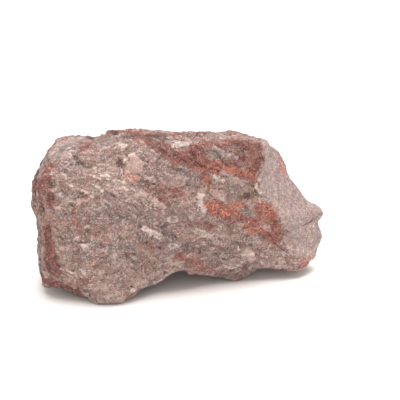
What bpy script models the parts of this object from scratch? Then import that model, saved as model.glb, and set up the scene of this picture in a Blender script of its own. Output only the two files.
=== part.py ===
"""A rough rock: a broken hand specimen of pinkish grey crystalline rock, stained with iron.

The stone is one closed solid, resting on a nose at the front left, a lobe at the front right
and two feet at the back. +X runs along its length, -Y is the side of its broad broken face,
and the origin is on the surface that it rests on, under the middle of its bounding box.
"""

import math

import bmesh
import bpy
import numpy as np
from mathutils import Matrix, Vector, noise

MM = 0.001

# ---- driving dimensions ---------------------------------------------------------------------
STONE_LENGTH = 91.4 * MM  # from the bulge of the left end to the tip of the spur
SKIN_VOXEL = 0.9 * MM  # grid of the even skin that the relief is cut into
BROKEN_FACETS = 2350  # flat facets that the relief is broken into; each is then split in four
FACET_JITTER = 0.44 * MM  # how far the split facets may depart from flat
SEED = 13  # of the tilts of the broken facets
FOOT_WEAR = 0.7 * MM  # taken off the lowest points, which leaves the flats that it rests on

# ---- corners of the broken form, in millimetres -----------------------------------------------
CREST = [
    (-25, 4, 44.8), (-21.4, 2, 47), (-20.2, 2.5, 49), (-14.5, 2, 50), (-10.7, 2, 49.8),
    (-7.2, 2, 49.1), (-12, 7, 48),
]
TOP_FRONT_EDGE = [
    (-5.3, -2.5, 47.3), (-2.5, -4, 46), (-0.1, -5.5, 45.3), (2.6, -5.5, 45.4), (4.7, -4, 46.1),
    (8.3, -5, 47.5), (17.9, -5, 47.7), (24.8, -3.5, 47.5),
]
TOP_BACK_EDGE = [
    (-3.4, 5.5, 47.2), (1.2, 6.5, 46.2), (4.6, 7.5, 46.5), (10.1, 8.5, 46), (14.5, 9, 46.6),
    (18.6, 10, 45), (20.6, 10, 42.4), (25, 9.5, 42.4), (26.8, 9.5, 41.7),
]
CORNER_FACET = [
    (-38.9, -2, 39.9), (-38.3, -1.5, 43), (-35.5, 4, 46), (-31.1, 6, 45.6), (-27.9, 1, 45.3),
    (-28.9, -2.5, 44.1), (-32.1, -7.5, 41.8), (-36.1, -6.5, 41.8),
]
LEFT_RIDGE = [
    (-38.3, -9.5, 39), (-40, -11, 35.4), (-37.8, -13.5, 30.5), (-39.6, -13.5, 23.6),
    (-38.1, -14.5, 18.6), (-39.3, -14, 12), (-40.3, -10.5, 4.8),
]
LEFT_SIDE = [
    (-38.8, -3, 38.2), (-41, -3, 36.8), (-43.5, -2, 33.8), (-44.6, -1, 28.7), (-42.4, -3, 25.5),
    (-41.7, -4, 22.1), (-41.6, -5, 14), (-41.7, -5.5, 6.8), (-41.6, -6, 3),
]
LOW_LEFT_LIP = [(-41.1, -8, 1.2), (-35.4, -11, 2.7), (-30.9, -13.5, 1.9), (-28.6, -14.6, 1.4)]
NOSE = [
    (-25.9, -16, 0.3), (-23.4, -17.5, -0.2), (-17.4, -17.5, -0.1), (-15.4, -15, 0.2),
    (-21, -20, 5.6), (-26.4, -16.5, 3.6), (-16.6, -18.5, 6.7),
]
ARCH_EDGE = [
    (-13.8, -13, 3), (-8.6, -10, 2.9), (-4.9, -8, 3.5), (-2.2, -6.5, 5.4), (0.4, -5.5, 6.5),
    (6.5, -3.5, 3.7), (11.5, -1, 2),
]
LOBE = [(15.9, 1, 0.3), (18.4, 1.5, -0.6), (20.9, 1.5, 1.4)]
LOW_RIGHT_EDGE = [(24.2, 1, 3.9), (29.4, 1.5, 3.5), (34.3, 3, 2.5), (39.9, 4, 2.1)]
SPUR_OUTLINE = [
    (28.9, 9, 41.1), (31.1, 9.5, 39), (32.4, 10, 36), (33.3, 10, 33.4), (34.9, 10.5, 30.3),
    (37.6, 11.5, 26.7), (40.6, 13, 22.2), (44.4, 14, 20.4), (46.3, 15, 18), (44, 13.5, 16.5),
    (44.9, 13, 13.6), (45.5, 13.5, 10.7), (43.9, 12.5, 8.3), (43.3, 11, 6.6), (43.2, 9, 4.9),
    (41.9, 6.5, 3.8),
]
FACET_RIDGE = [
    (26.1, -4, 42.7), (23.8, -4, 35.7), (25.4, -3, 30.6), (26.4, -2, 26.1), (32.6, 2, 20.6),
    (32.7, 3, 15.6), (33.8, 4, 11.2), (39.1, 6, 6.1),
]
BROAD_FACE = [
    (-31.7, -16.5, 8.4), (-33.9, -16.5, 14.2), (-26.7, -19, 17), (-29.7, -17, 23.3),
    (-19.3, -18, 20.5), (-10.6, -15.5, 12.6), (-22.2, -15.5, 29.6), (-12, -14, 27.9),
    (-29.7, -14, 31.6), (-31.8, -12, 37.9), (-22.3, -11.5, 37.7), (-13.4, -11.5, 36.5),
    (-24, -7.5, 42.7), (-15.9, -6.5, 44.9), (-3.1, -12, 19.6), (-4.7, -12, 11.2),
    (4.3, -7.5, 9.5), (2.8, -9.5, 17.5), (12, -6, 16.2), (15.2, -3.5, 8), (21.8, -1, 9.1),
    (27, 0, 12), (8.9, -8.5, 25.1), (-0.1, -11, 29.2), (19.9, -4.5, 20.2), (27, -0.5, 19.5),
    (-6.1, -10.5, 35.3), (2.9, -9.5, 35), (12, -7.5, 36.6), (19.9, -4.5, 31.9),
    (-4.6, -9, 41.7), (5.9, -8, 41.4), (16.6, -6.5, 40.2), (2.9, -7, 44.7),
    (-12.4, -3, 47.9), (-20, -3.5, 46.4), (11.9, -6.5, 45.2), (31.6, 2.5, 5.6),
]
BACK_SHOULDER = [
    (-36, 10, 41.5), (-27, 12, 43), (-17, 12, 45), (-7, 13.5, 44.6), (3, 15, 43.5),
    (14, 16.5, 42.5), (24, 15, 41),
]
BACK_FACE = [
    (-43, 6, 33), (-38, 14, 31), (-27, 20, 30), (-14, 22, 31), (0, 24.5, 28), (13, 23, 27),
    (25, 20, 28), (34, 16, 26), (-42, 4, 14), (-38.5, 12, 13), (-29, 20, 13), (-16, 23.5, 11),
    (-2, 22, 13), (12, 23.5, 12), (26, 21, 11), (38, 18, 11), (44, 16.5, 9),
]
BACK_FOOT = [
    (-37, 8, 3), (-30, 15, 0.2), (-23, 19.5, -0.2), (-14, 20, 0), (-5, 18, 3), (6, 18.5, 4),
    (18, 19.5, 2.5), (31, 18, -0.2), (35, 15, 0.1), (41, 13, 3.5),
]
UNDERSIDE = [
    (-34, 0, 4), (-25, -4, 3), (-20, -12, 0), (-24, 9, 3), (-22, 15, 0.2), (-14, -4, 3.5),
    (-12, 7, 5), (-3, 1, 8.5), (7, 4, 8), (2, 12, 7.5), (13, 9, 5), (18, 5, -0.2),
    (24, 4.5, 4.5), (21.5, 9, 4.5), (27, 7.5, 6.5), (25, 15, 4), (32.5, 14, 0), (36, 8, 5),
]
CORNERS = (
    CREST + TOP_FRONT_EDGE + TOP_BACK_EDGE + CORNER_FACET + LEFT_RIDGE + LEFT_SIDE
    + LOW_LEFT_LIP + NOSE + ARCH_EDGE + LOBE + LOW_RIGHT_EDGE + SPUR_OUTLINE + FACET_RIDGE
    + BROAD_FACE + BACK_SHOULDER + BACK_FACE + BACK_FOOT + UNDERSIDE
)
HEART = Vector((1, 2, 22))  # the corners are joined as they are seen from here
HEART_REACH = Vector((46, 22, 24))

# ---- relief, in millimetres -------------------------------------------------------------------
FABRIC_DIP = math.radians(33)  # the grain of the rock runs down to the right on the broad face
FABRIC_STRETCH = 1.9  # how much longer the broken facets are along the grain
SCALLOPS = [(12, 1.6), (6, 1.1)]  # size of the broken dishes, and how deep they are
DISH_HOLLOW = 0.5  # how hollow each dish is, against its tilt
DISH_STEP = 0.5  # how far the dishes stand before or behind each other
TILT_DRAW, RISE_DRAW = 7.3, 5.1  # scale a dish's centre to the noise that it draws these from
LUMP_SPACING, LUMP_HEIGHT = 15, 0.5
LEDGE_SPACING, LEDGE_HEIGHT = 7.5, 1.0
LEDGE_RISER = 0.2  # the share of a ledge's spacing that its steep side takes
LEDGE_WANDER, LEDGE_WANDER_SPACING = 0.5, 14
LEDGE_PATCH = 19  # the ledges come and go over about this distance
LEDGE_FADE = (-0.15, 0.35)  # values of that noise between which they fade in
JITTER_SPACING = 0.6
RELIEF_BIAS = -0.3  # brings the middle of the relief back onto the skin
SMOOTH_SHARE = 0.25  # how much of the relief the smooth joint faces have
WORN = (-1, 6)  # heights between which the relief fades in, above feet that stay put
TO_FABRIC = (
    Matrix.Diagonal((1 / FABRIC_STRETCH, 1, 1)) @ Matrix.Rotation(-FABRIC_DIP, 3, "Y")
)

RAGGED, RAGGED_SPACING = 1.2, 3.5  # how far the edges of the hollows and knobs wander
SCAR_SQUARENESS = 3  # 2 would give ellipses, and more gives rounded boxes
SCAR_BRIM = (0.7, 1.05)  # where the slope from the floor of a scar up to the skin starts and ends
SCAR_TILT = 0.8  # each is deepest at its right end, or at its left if its half length is negative
# hollows and knobs: across, up, half length, half width, dip in degrees, rise
ON_BROAD_FACE = [
    (18.5, 31.0, 5.0, 3.6, 10, -1.3),  # the grey pocket
    (22.5, 25.0, 3.6, 2.0, 20, -0.9),  # hollow in the rust patch
    (28.5, 17.5, 3.6, 2.2, 30, 0.8),  # its lower lip
    (13.5, 26.0, 4.0, 1.8, 35, 0.6),
    (-1.5, 43.0, 3.0, 1.4, 40, -1.0),  # dark notch under the crest
    (9.0, 39.0, 8.0, 1.6, 25, -0.7),  # the stained joint
    (-13.0, 41.3, 3.6, 2.6, 5, 0.9),  # pink crystal
    (-13.0, 37.4, 2.4, 1.2, 0, 0.5),
    (-26.0, 21.5, 3.4, 3.0, 20, -0.8),
    (-2.5, 21.0, 4.2, 2.8, 40, -0.8),
    (5.0, 15.5, 6.0, 2.4, 10, -0.8),
    (-7.0, 21.5, 4.2, 2.4, 25, 0.8),  # pale ledge
    (21.5, 9.0, 2.4, 3.2, 0, 0.9),  # pale block
    (7.5, 29.8, 1.8, 4.0, 0, 0.7),  # upright crystal
    (-32.5, 9.5, 2.0, 5.0, 0, -0.7),
    (-26.8, 2.6, 1.2, 2.4, 20, -1.2),  # groove between the lip and the nose
    (-30.2, 43.2, 1.0, 1.8, 60, -1.0),  # crack at the corner facet
    (-24.0, 33.0, 7.0, 1.5, 30, -0.6),
    (-17.0, 29.5, 8.0, 1.4, 33, 0.6),
    (42.5, 14.8, 3.0, 0.9, -35, -0.8),  # crack under the spur
]
ON_TOP = [
    (1.8, -2.6, 3.6, 3.0, 0, -1.4),  # the pale shelf
    (-15.0, 5.0, 6.0, 2.4, -10, -0.6),
    (16.0, 2.5, 8.0, 3.2, -5, -0.6),
]
ON_BACK = [
    (-21.0, 30.0, 12.0, 8.0, -25, -1.3),
    (11.0, 31.0, -9.0, 7.0, 20, -1.2),
    (-6.0, 12.5, 10.0, 4.5, -10, -1.1),
    (25.0, 16.0, -8.0, 5.0, -35, 0.8),
    (-33.0, 17.0, 4.5, 6.0, 0, 0.7),
]
FACING = (0.15, 0.5)  # cosines between which the skin starts to count as facing a side
BROAD_FACE_SIDE, TOP_SIDE, BACK_SIDE = Vector((0, -1, 0)), Vector((0, 0, 1)), Vector((0, 1, 0))
CORNER_FACET_MIDDLE = Vector((-33.5, 0, 44.5))
CORNER_FACET_REACH = Vector((8.5, 9, 5))
CORNER_FACET_RIM = (0.75, 1.0)  # where the smooth corner facet turns rough
RIDGE_RIM = (0, 1.5)  # how far right of the ridge the rough face turns smooth


def corner_skin():
    """The flat-sided skin over the corners, as one closed mesh."""
    skin = bmesh.new()
    for corner in CORNERS:
        out = Vector(corner) - HEART
        skin.verts.new(Vector(o / r for o, r in zip(out, HEART_REACH)).normalized())
    bmesh.ops.convex_hull(skin, input=skin.verts)
    for vert, corner in zip(skin.verts, CORNERS):
        vert.co = Vector(corner) * MM
    bmesh.ops.triangulate(skin, faces=skin.faces)
    bmesh.ops.recalc_face_normals(skin, faces=skin.faces)
    return skin


def object_from(form, name):
    mesh = bpy.data.meshes.new(name)
    form.to_mesh(mesh)
    form.free()
    thing = bpy.data.objects.new(name, mesh)
    bpy.context.collection.objects.link(thing)
    return thing


def apply_modifiers(thing):
    """Replaces the object's mesh by the one that its modifiers make."""
    settled = thing.evaluated_get(bpy.context.evaluated_depsgraph_get())
    mesh = bpy.data.meshes.new_from_object(settled)
    thing.modifiers.clear()
    thing.data = mesh


def even_out(thing, softening):
    """Gives the skin an even net of points, and takes the knife edge off its ridges."""
    remesh = thing.modifiers.new("even skin", "REMESH")
    remesh.mode = "VOXEL"
    remesh.voxel_size = SKIN_VOXEL
    soften = thing.modifiers.new("soften", "SMOOTH")
    soften.factor = 0.5
    soften.iterations = softening
    apply_modifiers(thing)


def scallops(place):
    """Broken surface of small tilted dishes that meet in sharp crests, about 1 apart."""
    lowest = math.inf
    for centre in noise.voronoi(place)[1]:
        out = place - centre
        tilt = noise.noise_vector(centre * TILT_DRAW)
        step = DISH_STEP * noise.noise(centre * RISE_DRAW + Vector((7, 7, 7)))
        lowest = min(lowest, tilt.dot(out) + DISH_HOLLOW * out.length_squared + step)
    return lowest


def ledge(point):
    """A stair of small ledges across the grain, which comes and goes."""
    wander = LEDGE_WANDER * noise.noise(point / LEDGE_WANDER_SPACING)
    across = (TO_FABRIC @ point).z / LEDGE_SPACING + wander
    share = across - math.floor(across)
    tread = 1 - LEDGE_RISER
    climb = share / tread if share < tread else (1 - share) / LEDGE_RISER
    there = smooth_step(*LEDGE_FADE, noise.noise(point / LEDGE_PATCH + Vector((3, 5, 8))))
    return (climb - 0.5) * there


def smooth_step(low, high, value):
    share = min(1, max(0, (value - low) / (high - low)))
    return share * share * (3 - 2 * share)


def joint_face(point):
    """1 on the two smooth joint faces, the right end and the top left corner, 0 elsewhere."""
    ridge = sorted((corner[2], corner[0]) for corner in FACET_RIDGE)
    ridge_x = np.interp(point.z, [r[0] for r in ridge], [r[1] for r in ridge])
    right_end = smooth_step(*RIDGE_RIM, point.x - ridge_x)
    out = point - CORNER_FACET_MIDDLE
    away = math.hypot(*(o / r for o, r in zip(out, CORNER_FACET_REACH)))
    return max(right_end, 1 - smooth_step(*CORNER_FACET_RIM, away))


def pressed(point, normal, side, places):
    """Rise or fall of the named hollows and knobs on one side of the stone."""
    facing = smooth_step(*FACING, normal.dot(side))
    point = point + RAGGED * noise.noise_vector(point / RAGGED_SPACING)
    total = 0
    for place_right, place_up, half_length, half_width, dip, rise in places:
        turn = math.radians(dip)
        right = point.x - place_right
        up = (point.y if side == TOP_SIDE else point.z) - place_up
        along = (right * math.cos(turn) - up * math.sin(turn)) / half_length
        across = (right * math.sin(turn) + up * math.cos(turn)) / half_width
        power = SCAR_SQUARENESS
        away = (abs(along) ** power + abs(across) ** power) ** (1 / power)
        total += rise * (1 - smooth_step(*SCAR_BRIM, away)) * (1 + SCAR_TILT * along)
    return total * facing


def relief(point, normal):
    """Height of the stone's relief at a point of the skin."""
    height = RELIEF_BIAS + LUMP_HEIGHT * noise.noise(point / LUMP_SPACING)
    for size, deep in SCALLOPS:
        height += deep * scallops(TO_FABRIC @ point / size)
    height += LEDGE_HEIGHT * ledge(point)
    height *= 1 - (1 - SMOOTH_SHARE) * joint_face(point)
    height *= smooth_step(*WORN, point.z)
    height += pressed(point, normal, BROAD_FACE_SIDE, ON_BROAD_FACE)
    height += pressed(point, normal, TOP_SIDE, ON_TOP)
    return height + pressed(point, normal, BACK_SIDE, ON_BACK)


def cut_relief(thing):
    moves = [
        vert.normal * relief(vert.co / MM, vert.normal) * MM for vert in thing.data.vertices
    ]
    for vert, move in zip(thing.data.vertices, moves):
        vert.co += move


def break_into_facets(thing):
    """Turns the relief into flat facets with crisp edges, and roughens each a little."""
    triangles = sum(len(face.vertices) - 2 for face in thing.data.polygons)
    flatten = thing.modifiers.new("flatten", "DECIMATE")
    flatten.ratio = BROKEN_FACETS / triangles
    apply_modifiers(thing)
    form = bmesh.new()
    form.from_mesh(thing.data)
    corners = set(form.verts)
    bmesh.ops.subdivide_edges(form, edges=form.edges, cuts=1, use_grid_fill=True)
    form.normal_update()
    for vert in form.verts:
        if vert not in corners:
            point = vert.co / MM
            jitter = noise.noise(point / JITTER_SPACING) * (1 - joint_face(point))
            vert.co += vert.normal * FACET_JITTER * jitter
    bmesh.ops.triangulate(form, faces=form.faces)
    form.to_mesh(thing.data)
    form.free()


def wear_feet(thing):
    """Flattens the resting points, and puts the origin under the middle of the stone."""
    form = bmesh.new()
    form.from_mesh(thing.data)
    ground = min(vert.co.z for vert in form.verts) + FOOT_WEAR
    for vert in form.verts:
        vert.co.z = max(vert.co.z, ground)
    low = Vector(min(vert.co[i] for vert in form.verts) for i in range(3))
    high = Vector(max(vert.co[i] for vert in form.verts) for i in range(3))
    middle = Vector(((low.x + high.x) / 2, (low.y + high.y) / 2, ground))
    scale = STONE_LENGTH / (high.x - low.x)
    for vert in form.verts:
        vert.co = (vert.co - middle) * scale
    bmesh.ops.triangulate(form, faces=form.faces)
    form.to_mesh(thing.data)
    form.free()


def stone_material():
    material = bpy.data.materials.new("stone")
    material.use_nodes = True
    shader = material.node_tree.nodes["Principled BSDF"]
    shader.inputs["Base Color"].default_value = (0.3, 0.2, 0.175, 1)
    shader.inputs["Roughness"].default_value = 0.8
    shader.inputs["Metallic"].default_value = 0
    return material


def main():
    for thing in list(bpy.data.objects):
        bpy.data.objects.remove(thing)
    noise.seed_set(SEED)
    stone = object_from(corner_skin(), "rough_rock")
    even_out(stone, softening=2)
    cut_relief(stone)
    even_out(stone, softening=0)
    break_into_facets(stone)
    wear_feet(stone)
    stone.data.materials.clear()
    stone.data.materials.append(stone_material())


main()
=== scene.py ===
"""A rough rock: a broken hand specimen of pinkish grey crystalline rock, stained with iron."""

import math

import bmesh
import bpy
import numpy as np
from mathutils import Matrix, Vector, noise
from mathutils.bvhtree import BVHTree
from mathutils.kdtree import KDTree


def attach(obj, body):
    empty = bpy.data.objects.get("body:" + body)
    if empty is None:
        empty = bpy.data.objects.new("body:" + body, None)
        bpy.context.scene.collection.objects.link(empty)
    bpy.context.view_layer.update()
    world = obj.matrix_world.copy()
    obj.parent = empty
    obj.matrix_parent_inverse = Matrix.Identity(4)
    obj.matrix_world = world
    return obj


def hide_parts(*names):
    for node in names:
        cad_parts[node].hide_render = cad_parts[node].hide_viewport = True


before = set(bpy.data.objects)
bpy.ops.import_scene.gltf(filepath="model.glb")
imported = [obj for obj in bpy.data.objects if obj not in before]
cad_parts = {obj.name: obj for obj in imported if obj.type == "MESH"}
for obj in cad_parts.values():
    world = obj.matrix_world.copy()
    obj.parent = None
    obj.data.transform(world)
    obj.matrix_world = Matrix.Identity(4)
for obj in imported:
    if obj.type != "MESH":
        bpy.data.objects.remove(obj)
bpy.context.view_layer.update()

# ---- the rock's surface -----------------------------------------------------------------------
# One piece of coarse feldspar rock, as it came from the rock face. Its broad front broke rough
# through the crystals, its right end and top left corner parted along old joints, and water
# left iron oxide in the joints and cracks. Nothing is fixed to it.

MM = 0.001  # the scene is in metres; from here on, sizes of the rock are in millimetres
NET = 0.43  # spacing of the surface's points
WELD = 0.001  # corners of the solid that are nearer than this are one
GRAIN_DIP = math.radians(33)  # the grain runs down to the right across the front
GRAIN_STRETCH = 1.7  # how much longer a chip or a grain is along the grain than across it
SEED = 11  # of all the noise in the surface

noise.seed_set(SEED)
form = bmesh.new()
form.from_mesh(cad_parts["rough_rock"].data)
bmesh.ops.remove_doubles(form, verts=form.verts, dist=WELD * MM)
solid = BVHTree.FromBMesh(form)
skin = bpy.data.meshes.new("rock_surface")
form.to_mesh(skin)
form.free()
rock = bpy.data.objects.new("rock_surface", skin)
bpy.context.scene.collection.objects.link(rock)
even = rock.modifiers.new("even net", "REMESH")
even.mode = "VOXEL"
even.voxel_size = NET * MM
even.use_smooth_shade = True
settled = rock.evaluated_get(bpy.context.evaluated_depsgraph_get())
rock.data = bpy.data.meshes.new_from_object(settled)
rock.modifiers.clear()
rock.data.name = "rock_surface"


def read_points(mesh, kind):
    """The mesh's point places in millimetres (kind "co") or its point normals ("normal")."""
    flat = np.empty(len(mesh.vertices) * 3, np.float32)
    if kind == "co":
        mesh.vertices.foreach_get("co", flat)
        return flat.reshape(-1, 3).astype(float) / MM
    mesh.vertex_normals.foreach_get("vector", flat)
    return flat.reshape(-1, 3).astype(float)


def smooth_step(low, high, value):
    share = np.clip((value - low) / (high - low), 0, 1)
    return share * share * (3 - 2 * share)


places = read_points(rock.data, "co")
normals = read_points(rock.data, "normal")
points = [Vector(place) for place in places]

# Broken relief: chips are tilted dishes that meet in crests, in three sizes, and grit is finer.
CHIPS = [(6.5, 0.8), (3.0, 0.7), (1.4, 0.22)]  # size, depth
CHIP_DISH = 0.4  # how hollow a chip is
CHIP_STEP = 0.6  # how far one chip lies below the next
TILT_SPREAD, STEP_SPREAD = 7.3, 5.1  # centres are spread by these, so that each chip is unlike
STEP_SHIFT = Vector((7, 7, 7))  # and moved by this, so that steps owe nothing to tilts
LEDGE_SIZE, LEDGES, LEDGE_RISE = 9.0, 3.0, 0.65
RISER = 0.2  # the share of a ledge that its steep riser takes
RIPPLES, RIPPLE_SHARE = 3.1, 0.3  # ripples to the length of a ledge, and their strength
GRIT_SIZE, GRIT_DEPTH = 0.8, 0.1
to_grain = Matrix.Diagonal((1 / GRAIN_STRETCH, 1, 1)) @ Matrix.Rotation(-GRAIN_DIP, 3, "Y")


def chip(place):
    lowest = math.inf
    for centre in noise.voronoi(place)[1]:
        out = place - centre
        tilt = noise.noise_vector(centre * TILT_SPREAD)
        step = CHIP_STEP * noise.noise(centre * STEP_SPREAD + STEP_SHIFT)
        lowest = min(lowest, tilt.dot(out) + CHIP_DISH * out.length_squared + step)
    return lowest


def ledge(place):
    """Terraces: long treads with short steep risers between them."""
    level = noise.noise(place / LEDGE_SIZE)
    level += RIPPLE_SHARE * noise.noise(place * RIPPLES / LEDGE_SIZE)
    climbed = LEDGES * level - math.floor(LEDGES * level)
    return float(smooth_step(1 - RISER, 1, climbed)) - climbed


def broken_relief(point):
    height = sum(deep * chip(to_grain @ point / size) for size, deep in CHIPS)
    height += LEDGE_RISE * ledge(to_grain @ point)
    return height + GRIT_DEPTH * noise.noise(point / GRIT_SIZE)


# The front view, from the camera at the end. Places in it count in steps from its top left.
AIM = Vector((6.4, -1.0, 26.8))
CAMERA_HEIGHT = math.radians(18)
CAMERA_AWAY = 410.7
CAMERA_LENS, FILM_WIDTH = 120, 36
VIEW_STEPS = 400
STEP = CAMERA_AWAY * FILM_WIDTH / CAMERA_LENS / VIEW_STEPS  # a step's width at the rock
view_back = Vector((0, -math.cos(CAMERA_HEIGHT), math.sin(CAMERA_HEIGHT)))
view_up = Vector((0, math.sin(CAMERA_HEIGHT), math.cos(CAMERA_HEIGHT)))
camera_place = AIM + view_back * CAMERA_AWAY
LAID_TO = 0.5  # places found from the view are laid out to the half millimetre


def seen_at(across, down):
    """The place on the rock at this step of the front view, or nearest to it past the edge."""
    middle = VIEW_STEPS / 2
    target = AIM + Vector(((across - middle) * STEP, 0, 0)) + view_up * (middle - down) * STEP
    found = solid.ray_cast(camera_place * MM, target - camera_place)[0]
    found = found or solid.find_nearest(target * MM)[0]
    return [LAID_TO * round(value / MM / LAID_TO) for value in found]


# Marks on the rock. Each follows a line of places. A place that was read in the front view is
# (across, down, half width) in steps of that view, and one that was set out on the rock is
# (across, deep, up, half width) in millimetres.
WANDER = [(1.6, 1.0), (0.7, 0.5)]  # size and strength of the waver of the marks' edges
wander = sum(
    strength * np.array([noise.noise_vector(point / size) for point in points])
    for size, strength in WANDER
)
tree = KDTree(len(points))
for index, point in enumerate(points):
    tree.insert(point, index)
tree.balance()


def settle(line):
    """The line in millimetres, with each place moved to the nearest point of the rock."""
    settled_line = []
    for *spot, half_width in line:
        if len(spot) == 2:
            spot, half_width = seen_at(*spot), round(half_width * STEP, 1)
        settled_line.append((*places[tree.find(spot)[1]], half_width))
    return settled_line


def away_from(line, ragged):
    """How far each point of the rock is from a line, in half widths of the line."""
    probe = places + ragged * wander
    nearest = np.full(len(places), np.inf)
    line = [np.array(spot, float) for spot in line]
    for start, end in zip(line, line[1:] or line):
        run = (end - start)[:3]
        length = max(run @ run, 1e-9)
        share = np.clip((probe - start[:3]) @ run / length, 0, 1)
        out = probe - (start[:3] + share[:, None] * run)
        width = start[3] + share * (end[3] - start[3])
        nearest = np.minimum(nearest, np.linalg.norm(out, axis=1) / width)
    return nearest


def two_noises(size, fine_size, fine_share):
    """Noise of two sizes over the rock's points, in millimetres."""
    return np.array([
        noise.noise(point / size) + fine_share * noise.noise(point / fine_size)
        for point in points
    ])


def cover(marks, ragged, edge=(0.55, 1.45)):
    """Strength of a list of marks over the rock, and their tone where they are strongest."""
    strength, tone = np.zeros(len(places)), np.zeros(len(places))
    for (amount, shade), line in marks:
        there = amount * (1 - smooth_step(*edge, away_from(settle(line), ragged)))
        tone = np.where(there > strength, shade, tone)
        strength = np.maximum(strength, there)
    return strength, tone


# The smooth joint faces: the one at the top left corner, and all that is right of the ridge,
# whose places are (across, up).
CORNER = [
    ((1, 0), [
        (-38.5, -7, 42.5, 0.9), (-37, -3.5, 44, 1.5), (-35, -2.5, 45, 2),
        (-32.5, -1.5, 45.5, 1.7), (-30.5, 0.5, 46, 1.1),
    ]),
    ((1, 0), [(-35.5, -7, 43.5, 1.5), (-33.5, -8, 43, 1.4), (-32.5, -6, 43.5, 0.6)]),
]
RIDGE = [
    (38.1, 5.8), (32.8, 10.9), (31.7, 15.3), (31.6, 20.3), (25.4, 25.8), (24.4, 30.3), (22.8, 35.4),
    (25.1, 42.4),
]
RIDGE_EDGE = 0.9  # width over which the broken rock gives way to the smooth face
STAGGER = 2.2  # how far the ridge strays to either side
ridge_across = np.interp(places[:, 2], [up for _, up in RIDGE], [across for across, _ in RIDGE])
stray = two_noises(size=2.6, fine_size=1.0, fine_share=0.5)
right_end = smooth_step(0, RIDGE_EDGE, places[:, 0] - ridge_across + STAGGER * stray)
corner, _ = cover(CORNER, 0.35, (0.85, 1.15))
smooth = np.maximum(right_end, corner)

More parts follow.
